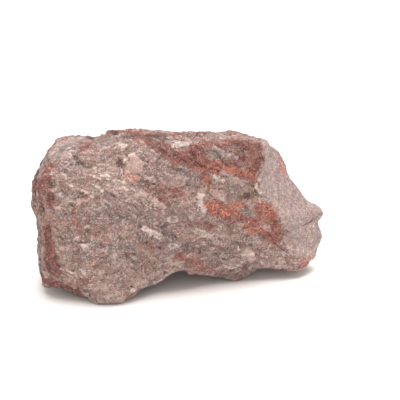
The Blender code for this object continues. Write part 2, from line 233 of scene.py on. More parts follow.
# Rust: (how much, tone from -1 for maroon to 1 for orange), then the line.
RUST = [
    # start of the stained joint
    ((0.75, -0.1), [(133, 135, 5), (142, 138, 6), (151, 141, 6)]),
    # its darkest stretch
    ((1.2, -0.9), [
        (-8.5, -6, 47, 1.7), (-5.5, -7.5, 46, 1.9), (-3, -9, 44.3, 2.2), (-0.5, -10.5, 43.5, 2.3),
    ]),
    ((1.2, -0.35), [(-0.5, -10.5, 43.5, 2.7), (3, -10.5, 43, 2.8), (6.5, -10.5, 42, 2.6)]),
    ((1.2, 0.5), [(6, -10.5, 41.3, 2), (8.5, -10, 40, 2), (11, -9, 39.3, 1.8)]),
    ((1.1, 0.4), [
        (11, -9.5, 40.3, 1.6), (14, -9.5, 39.8, 1.3), (17, -8.5, 38.5, 1.5),
        (20.5, -7.5, 37, 1.8), (22.5, -6.5, 35, 1.4),
    ]),
    # speckled zone above it
    ((0.8, -0.4), [
        (4, -9, 46, 1.6), (8, -8, 46.8, 1.5), (14, -7.5, 47, 1.6), (20, -7.5, 46.6, 1.9),
        (24, -7, 45, 2),
    ]),
    ((0.85, -0.4), [(20, -7.5, 44, 3), (22.5, -7.5, 41.5, 3), (23, -7.5, 38.5, 2.2)]),
    ((0.7, -0.3), [(15.5, -9.5, 41.5, 1.7), (18.5, -8.5, 41, 1.8)]),
    # patch on the right
    ((1, 0.6), [(208, 204, 5), (217, 208, 8), (227, 213, 7)]),
    ((0.95, -0.4), [(220, 213, 6), (231, 218, 6), (241, 221, 5)]),
    ((0.95, 0.9), [(232, 207, 5), (241, 206, 4)]),
    ((1, 0.5), [(24.5, -3.5, 25.5, 1.8), (27.5, -3, 23.5, 2.8), (29.3, -1.5, 21, 1.9)]),
    ((1, -0.5), [(275, 226, 6), (279, 234, 4)]),
    ((0.85, 0.6), [(248, 226, 7), (258, 230, 6)]),
    ((0.95, 0.2), [(262, 233, 6), (272, 238, 5), (278, 241, 3)]),
    ((0.95, 0.2), [
        (16.5, -8.5, 24.5, 1.3), (19, -7, 23, 1.6), (21.5, -6, 21, 1.6), (24.5, -4, 21, 1.8),
    ]),
    ((0.4, -0.2), [(286, 229, 4), (290, 239, 4)]),
    # strip down the left edge
    ((1.2, -0.7), [
        (-38.5, -11, 40.5, 1.4), (-40, -13, 38, 2), (-41, -13.5, 35.5, 2.3),
        (-41.5, -11.5, 31.5, 2.3), (-41, -10.5, 28, 1.4),
    ]),
    ((1.2, -0.7), [(47, 172, 3.2), (47, 180, 4.2), (49, 190, 5.2), (51, 200, 5.2), (51, 208, 3)]),
    ((1.1, -1.1), [
        (-42.5, 4, 38, 1), (-43.5, -2, 36.5, 1), (-43, -9, 34.5, 1), (-43.5, -6, 30.5, 1),
    ]),
    ((1.3, -0.9), [(-44, -5, 36.5, 1.8), (-44.5, -4.5, 34, 1.6), (-44, -5, 31.5, 1)]),
    ((0.5, -0.4), [(-39.5, -15.5, 27, 0.9), (-39, -16, 24, 0.9)]),
    ((1.2, -0.9), [
        (-39.5, -16, 23, 1.2), (-39.5, -16.5, 19, 1.7), (-39, -17.5, 16.5, 2.4),
        (-38.5, -18, 13.5, 2.6), (-38, -18, 10, 2.6),
    ]),
    ((0.9, -1.0), [
        (-43.5, -2.5, 18, 0.8), (-43, -8.5, 16.5, 0.9), (-42.5, -9, 11.5, 0.9),
        (-42, -12, 8.5, 0.9),
    ]),
    # lip at the bottom
    ((1.3, -0.7), [
        (-41.5, -12, 5, 2.2), (-38.5, -14, 5, 2.2), (-35.5, -15, 4, 2.2),
        (-32.5, -16.5, 3.2, 1.8), (-30, -17.5, 2, 1.3),
    ]),
    ((1, 0.9), [(80, 295, 3), (84, 297, 2)]),
    # front of the crest
    ((0.75, 0), [
        (-11.5, -3.5, 48.5, 1.3), (-5.5, -3.5, 48.5, 1.3), (2, 1.5, 47, 1.2), (9.5, -1, 48, 1.2),
        (17, 2, 47, 0.9),
    ]),
    ((0.75, -0.2), [(108, 132, 3), (119, 132, 3), (131, 131, 3), (141, 132, 3)]),
    # beside the corner facet
    ((0.85, -0.2), [(-29.5, -6, 44, 0.9), (-27.5, -4, 45, 1.2), (-26.5, -3, 45.5, 0.9)]),
    ((0.6, 0), [(-40, -0.5, 42, 0.7), (-38.5, -3.5, 44, 0.7), (-37.5, -2, 45, 0.7)]),
    ((0.9, 0.9), [(-36, -0.5, 46, 0.7), (-34, -0.5, 45.5, 0.7)]),
    # rim of the smooth end
    ((0.6, -0.2), [(267.5, 143.5, 3), (276, 152, 3), (283, 162, 3), (286.5, 173, 2.5)]),
    ((0.85, 0.8), [(278, 154, 2), (279, 168, 2.5), (283, 171, 2)]),
    # low on the smooth end
    ((0.5, 0.6), [(299, 256, 3.2), (306, 258, 3.2), (311, 256, 3)]),
    ((0.85, 0.1), [(301, 266, 3.2), (308, 264, 3.2)]),
    # weak stains
    ((0.6, -0.5), [(150, 185, 7), (165, 188, 9), (179, 191, 7)]),
    ((0.55, -0.4), [(160, 197, 6), (172, 199, 6)]),
    ((0.9, 0.4), [(7.5, -11, 37, 1.1), (9, -10.5, 35.5, 1.2)]),
    ((0.55, 0.2), [(97, 236, 5), (105, 239, 4)]),
    ((0.5, 0), [(72, 221, 4), (81, 222, 3)]),
    ((0.5, 0), [(89, 264, 4), (101, 266, 5)]),
    ((0.55, 0.1), [(82, 281, 4), (91, 282, 3)]),
    ((0.6, 0.1), [(184, 222, 4), (195, 226, 4)]),
    ((0.75, -0.4), [(202, 224, 4), (212, 227, 4)]),
    ((0.5, 0.1), [(149, 245, 5), (159, 249, 4)]),
    ((0.8, 1), [(153, 246, 2)]),
    ((0.6, 0.1), [(178, 256, 4), (185, 259, 4)]),
    ((0.6, 0.1), [(191, 261, 6), (202, 267, 7), (213, 270, 4)]),
    ((0.45, 0), [(215, 190, 3), (207, 194, 3)]),
    # top
    ((0.7, 0), [(-6, 4, 49, 1), (2, 7, 48, 1.4), (9, 10, 46.5, 1.6), (16, 11, 45, 1.2)]),
    ((0.6, 0.4), [(-24, 5, 47, 1.2), (-18, 8, 47, 1)]),
    # joint across the back
    ((0.9, -0.4), [(29, 12, 42, 1.6), (23, 16, 39, 2.4), (15, 18, 37, 3.4), (6, 20, 34, 3.2)]),
    ((0.75, 0.2), [(6, 20, 33, 2.4), (-1, 20, 32, 2.6), (-8, 20, 31, 1.8), (-13, 20, 31, 1.2)]),
    ((0.55, -0.4), [(20, 16, 41, 3), (11, 18, 40, 3.4)]),
    # patch low on the back
    ((0.8, 0.3), [(-16, 19, 19, 2), (-22, 18, 16, 3.4), (-29, 16, 13, 2.8)]),
    ((0.6, -0.5), [(-26, 17, 10, 2.8), (-20, 18, 8, 2.4)]),
    ((0.55, 0.2), [(13, 19, 12, 2.2), (19, 18, 8, 2.6)]),
    # left end
    ((0.9, -0.4), [(-43, 4, 38, 1.4), (-44.5, 6, 31, 1.8), (-45, 7, 24, 1.4)]),
    ((0.7, 0.3), [(-43, 10, 16, 1.6), (-42, 8, 10, 1.4)]),
]
# Pale crystals, and painted highlights on a few lit crystal edges and a shelf: (how much, tone from
# 0 for white to 1 for orange), then the line.
PALE_AND_HIGHLIGHTS = [
    # crest
    ((0.6, 0.2), [(13, -1, 47, 0.9), (18.5, 0.5, 47, 1.1), (25, -0.5, 46, 0.9)]),
    ((0.45, 0.3), [(0.5, 2, 47, 0.9), (8, -2, 48, 0.9)]),
    # shelf under the crest: a white crystal, with a painted highlight on its up-facing top
    ((1.1, 0), [
        (-4, -8, 45.5, 0.5), (-1, -7, 45.5, 0.9), (1.5, -5.5, 45.5, 1), (4, -4.5, 46, 0.8),
    ]),
    # white cluster
    ((0.85, 0), [(118, 144, 3.2), (125, 147, 3.2), (123, 151, 2.4)]),
    # pink crystal, and its bright rim, a painted highlight
    ((0.85, 0.6), [(-15, -12, 42.5, 1.2), (-13, -12.5, 43, 1.5), (-11.5, -13.5, 42, 1.2)]),
    ((0.85, 0.7), [(-14.5, -13.5, 40.5, 1.5), (-12, -14, 40.5, 1.2)]),
    ((1.1, 0), [(-16, -12, 42, 0.4), (-14.5, -11.5, 43.5, 0.4), (-13, -11, 44, 0.3)]),
    ((1.1, 0.1), [(-17, -13, 40, 0.4), (-16.5, -14, 38.5, 0.4)]),
    # orange crystal
    ((0.95, 1), [(-16.5, -14, 38, 0.8), (-14.5, -14.5, 38.5, 1.1), (-12.5, -15, 38, 0.8)]),
    ((0.8, 0), [(-18.5, -14.5, 37.8, 0.4), (-15.5, -15, 36.2, 0.4)]),
    ((0.7, 0.3), [(146, 178, 3), (151, 181, 3)]),
    # bright crystal
    ((1, 0.5), [(152, 198, 2), (157, 202, 4), (163, 206, 3)]),
    ((0.9, 0), [(-26, -14, 38.8, 0.4), (-23.5, -14, 37.4, 0.5)]),
    ((0.9, 0), [(-23, -14, 38.8, 0.4), (-20.5, -14.5, 37.7, 0.4)]),
    ((0.8, 0.2), [(-28.5, -15.5, 34.8, 0.5), (-25.5, -16, 32.8, 0.6)]),
    ((0.8, 0), [(-24.2, -15, 35.8, 0.3), (-22.5, -15.5, 34.2, 0.5)]),
    ((0.5, 0), [(121, 191, 2), (126, 193, 2)]),
    ((0.55, 0), [(94, 168, 1.6), (110, 176, 1.6)]),
    ((0.55, 0), [(112, 180, 1.6), (128, 190, 1.6)]),
    ((0.55, 0), [(128, 184, 1.6), (143, 197, 1.8)]),
    ((0.45, 0), [(135, 195, 1.6), (150, 208, 1.6)]),
    ((0.45, 0), [(143, 186, 1.5), (158, 196, 1.5)]),
    ((0.4, 0), [(100, 197, 1.5), (113, 204, 1.5)]),
    ((0.65, 0.1), [(-34.5, -13.5, 39.3, 0.4), (-32, -15, 37.2, 0.5)]),
    ((0.65, 0.1), [(-32, -15.5, 36.3, 0.4), (-30.8, -16, 34.7, 0.4)]),
    ((0.5, 0), [(-16, -14.7, 36.5, 0.7), (-13, -15, 34.5, 0.9), (-10, -14.6, 32.8, 0.7)]),
    # pale ledge in the middle
    ((0.7, 0.1), [(145, 228, 3), (152, 232, 4), (160, 238, 3)]),
    ((0.5, 0.1), [(171, 240, 2.5), (176, 245, 2.5), (180, 251, 2)]),
    ((0.65, 0.3), [(194, 230, 3), (203, 234, 4), (212, 238, 3)]),
    ((0.5, 0), [(84, 246, 3), (91, 252, 3)]),
    ((0.8, 0), [(68, 270, 1.6), (77, 276, 1.6)]),
    ((0.8, 0), [(80, 269, 1.6), (85, 275, 1.6)]),
    ((0.7, 0), [(-26, -19, 26.8, 0.3), (-25, -19, 26.2, 0.4)]),
    ((0.7, 0), [(-30.5, -21, 21.8, 0.3), (-29.5, -21, 21.2, 0.4)]),
    ((0.7, 0), [(-18, -20, 17.3, 0.4), (-17, -20, 16.7, 0.3)]),
    # pale block low on the right, and a painted highlight along its left edge
    ((0.75, 0.5), [(244, 257, 4), (249, 251, 5), (252, 260, 4)]),
    ((0.9, 0.1), [(242, 255, 1.5), (253, 254, 1.5)]),
    ((0.6, 0.2), [(14, -5, 6.5, 0.8), (17.5, -3.8, 6, 1), (20, -3, 7, 0.9)]),
    ((0.6, 0.1), [(240, 247, 1.5), (240, 262, 1.5)]),
    # upright crystal, and a painted highlight along its edge
    ((0.75, 0.1), [(6.5, -12, 32, 0.8), (6.5, -12, 30, 1), (7.5, -12, 27.5, 1)]),
    ((1.1, 0), [(6, -12, 32.5, 0.3), (6, -12.5, 27.5, 0.3)]),
    # block beside the pocket
    ((0.7, 0.5), [(10, -10.5, 32.5, 1.1), (12.5, -9.5, 31.5, 1.2), (13.5, -9, 29.5, 0.9)]),
    ((0.7, 0.2), [(23.5, -6, 33.5, 0.5), (24.5, -5, 30.5, 0.5)]),
    ((0.6, 0.1), [(215, 177, 3), (222, 181, 3)]),
    ((0.9, 0), [(256, 186, 2), (256, 189, 2)]),
    ((0.6, 0), [(259, 195, 1.8), (259, 202, 1.8)]),
    # edge of the nose
    ((0.6, 0), [(131, 290, 2), (140, 288, 2.5), (150, 285, 2.5), (161, 279, 2.5), (172, 271, 2.5)]),
    ((0.8, 0), [(313, 226, 1.5)]),
    ((0.8, 0), [(278, 238, 1.5)]),
    ((0.6, 0.2), [(167, 150, 1.8), (171, 154, 1.8)]),
    ((0.5, 0.1), [(262, 254, 2), (270, 257, 2)]),
    ((0.5, 0.1), [(100, 150, 2.5), (108, 147, 2.5)]),
    # top
    ((0.6, 0.1), [(-14, 8, 48, 1.2), (-9, 9, 47.5, 0.9)]),
    ((0.7, 0.6), [(-20, 3, 48, 1)]),
    # back
    ((0.85, 0.6), [(9, 21, 22, 1.6), (12, 20, 20.5, 1.2)]),
    ((0.8, 0), [(-15, 20, 31, 0.4), (-11, 20, 28.5, 0.5)]),
    ((0.7, 0.1), [(-1, 21, 12, 0.9), (3, 21, 10.5, 0.8)]),
    ((0.8, 0), [(-3, 20, 37, 0.5), (1, 20, 35.5, 0.5)]),
    ((0.9, 0.9), [(-27, 16, 33, 1.1)]),
    ((0.7, 0), [(-29, 16, 28, 0.6), (-26, 17, 26, 0.6)]),
    ((0.8, 0.2), [(26, 14, 30, 0.9), (25, 15, 27, 0.9)]),
    ((0.7, 0), [(17, 18, 17, 0.5), (20, 17, 15.5, 0.5)]),
    # left end
    ((0.7, 0.1), [(-45, 0, 30, 0.6), (-45, 2, 27, 0.8)]),
    ((0.6, 0.4), [(-43, 5, 12, 0.9)]),
]
# Dark minerals, and painted shade in a hollow, in grooves and under the corner facet, in the same
# form; their tone has no use.
DARK_AND_SHADE = [
    # crest
    ((0.9, 0), [(-29.5, 5, 45.5, 1.4), (-23.5, 2, 47, 1.4), (-19, -1.5, 48.5, 1.2)]),
    ((0.7, 0), [(-1, 2, 47.5, 1), (5, 1, 47.5, 1)]),
    # left edge
    ((0.7, 0), [(-44, -6, 37.5, 1.6), (-44.5, -4, 34.5, 1.6)]),
    ((0.8, 0), [(126, 135, 5), (150, 135, 5), (172, 137, 5)]),
    ((0.8, 0), [
        (-1, 0.5, 47.5, 1.2), (6.5, -2, 48, 1.2), (13.5, 0.5, 47, 1.2), (23, 0, 46.5, 0.9),
    ]),
    ((0.55, 0), [(64, 146, 5), (60, 156, 5)]),
    ((0.6, 0), [(-38, -4.5, 43.5, 0.6), (-35, -5, 43.8, 0.5), (-33, -2.5, 45, 0.5)]),
    ((0.4, 0), [(118, 144, 4), (128, 152, 4)]),
    # painted shade in the hollow by the pink crystal
    ((0.3, 0), [(-18, -12, 41, 0.8), (-17.5, -11, 42.5, 0.8)]),
    ((0.5, 0), [(11.5, -9.5, 44, 0.9), (13.5, -9.5, 43, 0.6)]),
    ((0.5, 0), [(84, 232, 6), (91, 241, 5)]),
    ((0.55, 0), [(-12.5, -17, 27, 1.8), (-16, -17, 27, 1.8), (-18, -18.5, 24.5, 1.6)]),
    ((0.4, 0), [(-1, -13, 26, 1.8), (4, -12, 26, 2)]),
    ((0.4, 0), [(-7.5, -13.5, 38, 1.2), (-3, -13.5, 36, 1.5)]),
    ((0.35, 0), [(-34.5, -18, 27, 1.5), (-31, -18.5, 28, 1.5)]),
    ((0.4, 0), [(30, -1, 14.5, 1.2), (32.5, 0.5, 13, 1.2)]),
    ((0.35, 0), [(-8.5, -16.5, 14, 1.8), (-4, -14, 15, 1.5)]),
    ((0.5, 0), [(165, 230, 6), (173, 239, 5)]),
    ((0.5, 0), [(184, 244, 6), (199, 248, 6)]),
    ((0.4, 0), [(178, 170, 5), (190, 172, 5)]),
    # black spots
    ((1.1, 0), [(-39.5, -17.5, 12, 1), (-39, -17.5, 10.5, 0.8)]),
    ((1.1, 0), [(56, 257, 3.2)]),
    ((0.8, 0), [(-37.5, -15, 35.5, 0.6), (-38.5, -14, 36.5, 0.6)]),
    # painted shade under the corner facet
    ((0.7, 0), [(-31, -7.5, 43, 0.7), (-30, -11, 42, 0.9), (-28.5, -11.5, 41, 0.9)]),
    # painted shade in the groove under it
    ((0.5, 0), [(60, 163, 1.3), (78, 166, 1.6), (95, 169, 1.3)]),
    ((0.6, 0), [(271, 158, 1.4)]),
    ((0.5, 0), [(281, 224, 1.2), (283, 236, 1.2)]),
]
# Grey, clean rock.
GREY = [
    # corner facet
    ((0.8, 0), [(-37, -3.5, 44, 2), (-33, -5, 44, 2.5), (-31, 0, 46, 1.5)]),
    # under it
    ((0.7, 0), [(-39, -9, 41, 2), (-34, -11, 40.5, 2.4), (-29, -12, 41, 2)]),
    # low on the smooth end
    ((0.4, 0), [(36, 2, 15, 2.6), (38, 4, 10, 2.4)]),
    # in the speckled zone
    ((0.8, 0), [(8.5, -9.5, 45, 1.2), (11.5, -9.5, 44.5, 1.5), (14.5, -9, 44.5, 1.2)]),
    ((0.7, 0), [(163, 147, 4)]),
    # pocket
    ((0.8, 0), [(232, 188, 6), (241, 190, 8)]),
    # in the rust patch
    ((0.7, 0), [(246, 210, 5), (255, 212, 4)]),
    ((0.5, 0), [(178, 212, 8), (195, 217, 9)]),
    ((0.5, 0), [(262, 252, 7), (280, 256, 7)]),
    ((0.5, 0), [(150, 150, 6), (158, 160, 6)]),
    ((0.4, 0), [(190, 186, 6), (184, 180, 5)]),
    ((0.4, 0), [(110, 210, 8), (130, 215, 8)]),
    # beside the strip on the left
    ((0.7, 0), [(-37.5, -14, 36.5, 0.6), (-36, -15.5, 34.5, 0.9), (-35.5, -16.5, 32, 0.9)]),
    ((0.5, 0), [(-34, -11.5, 41, 1.2), (-31, -15, 37.5, 1.8)]),
    # back
    ((0.6, 0), [(-6, 20, 19, 3), (4, 20, 15, 3.2), (10, 20, 12, 2)]),
    ((0.6, 0), [(20, 17, 27, 3.2), (24, 15, 20, 2.4)]),
    ((0.5, 0), [(-20, 18, 36, 2.6), (-26, 15, 40, 2.2)]),
    # left side
    ((0.5, 0), [(36, 215, 4), (40, 240, 4), (40, 262, 4)]),
]
# Fresh feldspar, lighter than the rest.
FRESH = [
    # left of the pink crystal, and below the orange one
    ((0.5, 0), [(-22, -12, 41, 2.8), (-14, -14.5, 37, 2.8)]),
    ((0.5, 0), [(-20.5, -8.5, 44.5, 1.5), (-23.5, -10.5, 42.5, 1.2)]),
    ((1.3, 0), [(-16.5, -15, 36.5, 2.2), (-13, -15, 34, 2.4), (-9.5, -14.5, 31.5, 1.5)]),
    # under the stained joint
    ((0.7, 0), [(0, -11.5, 40.5, 1.2), (1.5, -12, 39.5, 1.2)]),
    ((0.9, 0), [
        (7.5, -10.5, 42.5, 1.5), (11, -9.5, 39.5, 1.2), (15, -8.5, 36.7, 1.3),
        (18.5, -6.5, 34.5, 1.2), (21.5, -4.5, 31, 0.9),
    ]),
    ((0.7, 0), [(248, 158, 4), (254, 168, 4), (254, 178, 4)]),
    # beside the upright crystal
    ((0.8, 0), [(200, 192, 5), (206, 202, 5)]),
    # around the rust patch
    ((0.8, 0), [(238, 214, 4), (246, 219, 3)]),
    ((0.8, 0), [(274, 204, 4), (280, 214, 4), (284, 222, 3)]),
    # low on the right
    ((0.8, 0), [(252, 232, 4.2), (254, 242, 4.2)]),
    ((0.8, 0), [(17, -4.5, 8, 1.3), (19, -3.5, 8.5, 1.6), (19.5, -4.5, 12, 1.3)]),
    ((0.6, 0), [(13, -6, 10.5, 1.2), (15.5, -4.5, 5.5, 0.9)]),
    ((0.8, 0), [(26, -2, 6, 1.3), (30, -0.5, 5.5, 1.3), (34.5, 0, 4.5, 0.9), (38.5, 2, 5.5, 0.9)]),
    ((0.9, 0), [(38, 4, 9.5, 1.3), (40.5, 5, 7, 1.3)]),
    ((0.7, 0), [(288, 250, 4.2), (280, 262, 4.2)]),
    # between the rust patch and the stained joint
    ((0.8, 0), [(-1, -12.5, 37.5, 1.2), (2, -12.3, 37, 1.3)]),
    # nose
    ((0.7, 0), [(70, 198, 4), (62, 206, 4)]),
    ((0.5, 0), [
        (-28, -22, 16.5, 1.2), (-23, -21.5, 18, 1.3), (-19.5, -21, 17, 1.2),
        (-14.5, -19, 17, 1.2),
    ]),
    ((0.5, 0), [(-20, -22, 4.5, 1.5), (-15.5, -20.5, 5, 1.5), (-23.5, -21.5, 3, 1.2)]),
    ((0.8, 0), [(85, 297, 4), (98, 303, 4), (112, 301, 4), (124, 296, 4)]),
    ((0.8, 0), [(140, 284, 4.2), (152, 278, 4.2), (164, 271, 4.2)]),
    # back
    ((0.6, 0), [(-16, 20, 34, 2.4), (-9, 20, 36, 1.8)]),
    ((0.5, 0), [(8, 20, 26, 2.2), (14, 19, 24, 2)]),
]
# Large clear crystals that broke smooth.
CLEAR = [
    # corner facet
    ((0.9, 0), [(-37, -3.5, 44, 2), (-33, -5, 44, 2.5), (-31, 0, 46, 1.5)]),
    # pink crystal
    ((0.8, 0), [(-15, -12, 42.5, 1.5), (-12.5, -13.5, 41, 2)]),
    # pocket, and the block and upright crystal beside it
    ((1, 0), [(15.5, -7, 33, 2.2), (18.5, -6, 31.8, 2.8), (20, -5, 30.5, 2)]),
    ((0.8, 0), [(10, -10.5, 32.5, 1.5), (13, -9.2, 30.5, 1.5)]),
    ((0.8, 0), [(6.5, -12, 32, 1), (7.5, -12, 27.5, 1.2)]),
    # grey crystals in the middle
    ((0.9, 0), [(1, -12.5, 29, 2.2), (6, -12, 25.5, 2.5)]),
    ((0.8, 0), [(-6, -15, 26, 2.2), (-2, -13.5, 24.5, 1.8)]),
    ((0.8, 0), [(22, -4, 24, 1.6), (25, -3.5, 22.5, 1.4)]),
    # low on the right
    ((0.9, 0), [(21, -4, 9.5, 2)]),
    ((0.8, 0), [(26, -2, 9, 2), (31.5, -1, 8, 2)]),
    # nose
    ((0.8, 0), [(-24, -21.5, 6, 2.5), (-18, -21, 3, 2)]),
    # back
    ((0.9, 0), [(9, 21, 22, 2.2), (24, 15, 24, 2.5), (-20, 18, 37, 2.5)]),
]
# Hollows where a crystal came out.
HOLLOWS = [
    # pocket
    ((1, 0), [(15.5, -7, 33, 2.2), (18.5, -6, 31.8, 2.8), (20, -5, 30.5, 2)]),
    # beside the pink crystal
    ((0.5, 0), [(-18, -12, 41, 1), (-17.5, -11, 42.5, 1)]),
    # under the pale ledge
    ((0.7, 0), [(165, 230, 6), (173, 239, 5)]),
    ((0.6, 0), [(22.5, -5, 23.5, 1.4), (24.5, -3.5, 22.5, 1.2)]),
]
# Cracks and grooves, sunk in the relief and painted dark as painted shade.
CRACKS = [
    # crack by the corner facet
    ((1, 0), [(-32, -6, 43.5, 0.3), (-31, -8, 42.5, 0.7), (-30, -11.5, 41.5, 0.9)]),
    ((0.4, 0), [(-32, -6, 43.5, 0.3), (-34.5, -4.5, 44, 0.3), (-37.5, -5, 43.5, 0.3)]),
    # groove by the nose
    ((0.7, 0), [(86, 291, 1.6), (91, 299, 1.8)]),
    # rim of the pocket
    ((0.8, 0), [
        (21, -6, 34, 0.3), (22.5, -5, 32, 0.4), (23.5, -5, 30.5, 0.4), (25.5, -4.5, 29, 0.3),
    ]),
    # crack under the spur
    ((0.9, 0), [(303, 226, 1.2), (309, 223, 1.2), (317, 217.5, 1.2)]),
]
rust, rust_tone = cover(RUST, 0.9, (0.4, 1.6))
pale_and_highlights, pale_tone = cover(PALE_AND_HIGHLIGHTS, 0.45, (0.8, 1.15))
dark_and_shade, _ = cover(DARK_AND_SHADE, 0.4)
grey, _ = cover(GREY, 1.2)
fresh, _ = cover(FRESH, 1.2)
clear, _ = cover(CLEAR, 0.6, (0.7, 1.3))
hollow, _ = cover(HOLLOWS, 0.3, (0.6, 1.2))
cracks, _ = cover(CRACKS, 0.3)

# The relief: how far each point moves out or in, and less near the ground, where the rock rests.
JOINT_RISE = 0.25  # the smooth joint faces stand this far above the broken rock beside them
JOINT_SWELL = 0.35  # and swell by this much
CLEAR_SHARE = 0.5  # a clear crystal broke this much flatter than the rest
PALE_RISE, RUST_SINK, DARK_SINK = 0.4, 0.15, 0.3
HOLLOW_DEPTH, CRACK_DEPTH = 0.6, 0.5
GROUND_ZONE = 1.2
relief = np.array([broken_relief(point) for point in points])
relief -= relief.mean()
swell = two_noises(size=5.5, fine_size=1.9, fine_share=0.4)
relief = relief * (1 - smooth) + (JOINT_SWELL * swell + JOINT_RISE) * smooth
relief = relief * (1 - CLEAR_SHARE * clear) - HOLLOW_DEPTH * hollow
relief += PALE_RISE * pale_and_highlights - RUST_SINK * rust * (1 - smooth)
relief -= DARK_SINK * dark_and_shade + CRACK_DEPTH * cracks
above_ground = smooth_step(0, GROUND_ZONE, places[:, 2])
places += normals * (relief * above_ground)[:, None]
places[:, 2] = np.maximum(places[:, 2], 0)
rock.data.vertices.foreach_set("co", (places * MM).astype(np.float32).ravel())
rock.data.update()

# How far each point stands proud of the skin around it. Crests are painted lighter, as a painted
# highlight, and hollows darker, as painted shade.
SMOOTHINGS = 8
pairs = np.empty(len(rock.data.edges) * 2, np.int32)
rock.data.edges.foreach_get("vertices", pairs)
ends = pairs.reshape(-1, 2)
count = np.bincount(pairs, minlength=len(places)).astype(float)
blurred = places.copy()
for _ in range(SMOOTHINGS):
    total = np.zeros_like(blurred)
    np.add.at(total, ends[:, 0], blurred[ends[:, 1]])
    np.add.at(total, ends[:, 1], blurred[ends[:, 0]])
    blurred = 0.5 * blurred + 0.5 * total / count[:, None]
proud = ((places - blurred) * normals).sum(axis=1)

# cracks are painted dark, a painted shade
CRACK_SHADE = 0.7  # how dark a crack is painted, as painted shade

for name, values in {
    "rust": rust, "rust_tone": rust_tone, "pale_and_highlights": pale_and_highlights, "pale_tone": pale_tone,
    "dark_and_shade": np.maximum(dark_and_shade, CRACK_SHADE * cracks), "grey": grey, "fresh": fresh,
    "clear": clear, "smooth_face": smooth, "proud": proud,
}.items():
    layer = rock.data.attributes.new(name, "FLOAT", "POINT")
    layer.data.foreach_set("value", values.astype(np.float32))


class Wire:
    """A socket of a node tree. Sums of wires and numbers add the Math nodes that they need."""

    def __init__(self, socket):
        self.socket = socket

    def node(self, kind, settings, inputs, output=0):
        tree = self.socket.id_data
        new = tree.nodes.new(kind)
        for name, setting in settings.items():
            setattr(new, name, setting)
        for name, given in inputs.items():
            if isinstance(given, Wire):
                tree.links.new(given.socket, new.inputs[name])
            else:
                new.inputs[name].default_value = given
        return Wire(new.outputs[output])

    def beside(self, output):
        """Another output of the same node."""
        return Wire(self.socket.node.outputs[output])

    def math(self, operation, *terms):
        return self.node("ShaderNodeMath", {"operation": operation}, dict(enumerate(terms)))

    def __add__(self, other):
        return self.math("ADD", self, other)

    def __sub__(self, other):
        return self.math("SUBTRACT", self, other)

    def __rsub__(self, other):
        return self.math("SUBTRACT", other, self)

    def __mul__(self, other):
        return self.math("MULTIPLY", self, other)

    __radd__, __rmul__ = __add__, __mul__

    def step(self, low, high):
        """0 below low and 1 above high, with a soft rise between them."""
        inputs = {"Value": self, "From Min": low, "From Max": high}
        return self.node("ShaderNodeMapRange", {"interpolation_type": "SMOOTHSTEP"}, inputs)

    def blend(self, under, over):
        """The colour under where this wire is 0, and over where it is 1."""
        settings = {"data_type": "RGBA", "clamp_factor": True}
        return self.node("ShaderNodeMix", settings, {0: self, 6: under, 7: over}, 2)


LIGHT_SHARE = 0.69  # a surface of this share looks as light as one of 1 in even light
CURVE_FOOT, CURVE_POWER = 0.055, 2.4  # of the curve from a screen's value to a share of light


def tint(red, green, blue):
    """The shader colour of a surface that looks like this in the studio's strong light."""
    values = [(part / 255 + CURVE_FOOT) / (1 + CURVE_FOOT) for part in (red, green, blue)]
    return (*(LIGHT_SHARE * value**CURVE_POWER for value in values), 1)


stone = bpy.data.materials.new("broken_rock")
stone.use_nodes = True
shader = stone.node_tree.nodes["Principled BSDF"]
rock.data.materials.clear()
rock.data.materials.append(stone)


def layer_of(name):
    start = Wire(shader.outputs[0])
    return start.node("ShaderNodeAttribute", {"attribute_name": name}, {}, "Fac")


def vector(operation, first, second):
    inputs = {0: first, "Scale" if operation == "SCALE" else 1: second}
    output = "Value" if operation == "DOT_PRODUCT" else "Vector"
    return first.node("ShaderNodeVectorMath", {"operation": operation}, inputs, output)


def cloud(where, size, detail=2.0, output="Fac"):
    """Soft noise from 0 to 1, in blotches about as large as size, in millimetres."""
    inputs = {"Vector": where, "Scale": 1 / size, "Detail": detail, "Roughness": 0.6}
    return where.node("ShaderNodeTexNoise", {}, inputs, output)


def ragged(where, size, far):
    """The place moved about by noise, so that what is drawn there has ragged edges."""
    push = vector("SUBTRACT", cloud(where, size, 2.0, "Color"), (0.5,) * 3)
    return vector("ADD", where, vector("SCALE", push, far))


def crystals(where, size):
    """Cells about as large as size, each with a colour of its own, as a grain of the rock has."""
    return where.node("ShaderNodeTexVoronoi", {}, {"Vector": where, "Scale": 1 / size}, "Color")


def split(colour, part):
    return colour.node("ShaderNodeSeparateColor", {}, {"Color": colour}, part)


def cleavage(where, cell, slope):
    """Height of crystals that each broke along a flat face with its own tilt."""
    out = vector("SUBTRACT", where, cell.beside("Position"))
    return vector("DOT_PRODUCT", out, vector("SUBTRACT", cell, (0.5,) * 3)) * slope


